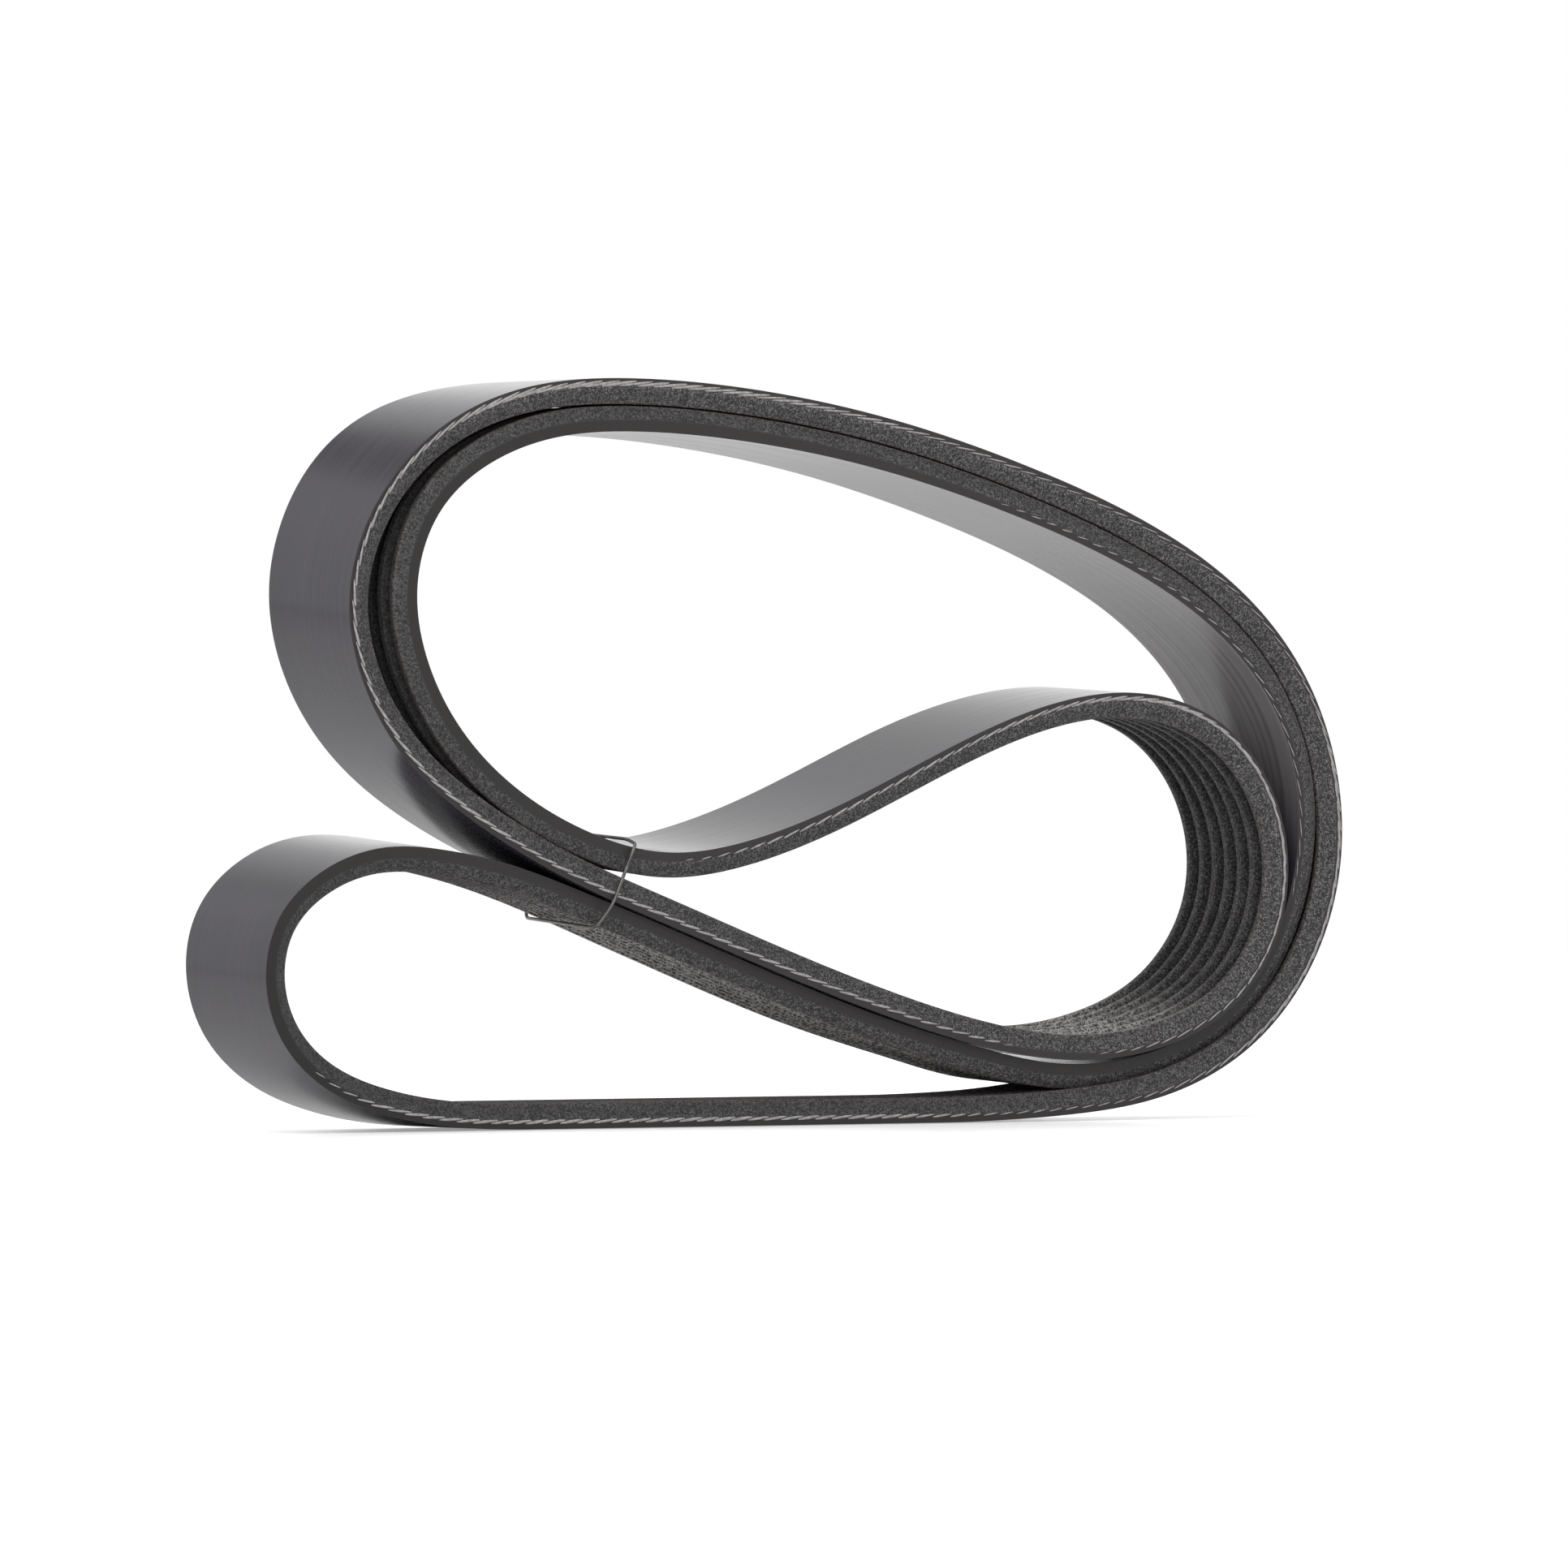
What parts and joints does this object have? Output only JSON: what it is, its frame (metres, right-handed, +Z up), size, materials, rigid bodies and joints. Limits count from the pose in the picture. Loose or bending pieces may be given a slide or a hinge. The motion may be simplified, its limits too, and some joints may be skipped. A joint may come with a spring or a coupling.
{
  "type": "serpentine belt",
  "caption": "Endless ribbed serpentine drive belt, folded to a double strand, coiled into nested loops and held by a thin wire tie.",
  "frame": {"origin": "on the underside of the flat floor run, midway across the belt's width", "axes": "+Z up, +X along the floor run towards the wide right bend, +Y across the belt from the near cut side to the far one"},
  "size_m": [0.2158, 0.028, 0.1222],
  "materials": {
    "belt": "smooth satin back, matt fibre-speckled ribs and cut sides",
    "wire_tie": "thin dark drawn wire"
  },
  "bodies": {
    "root": {"belt": "belt", "wire_tie": "wire_tie"}
  },
  "joints": []
}
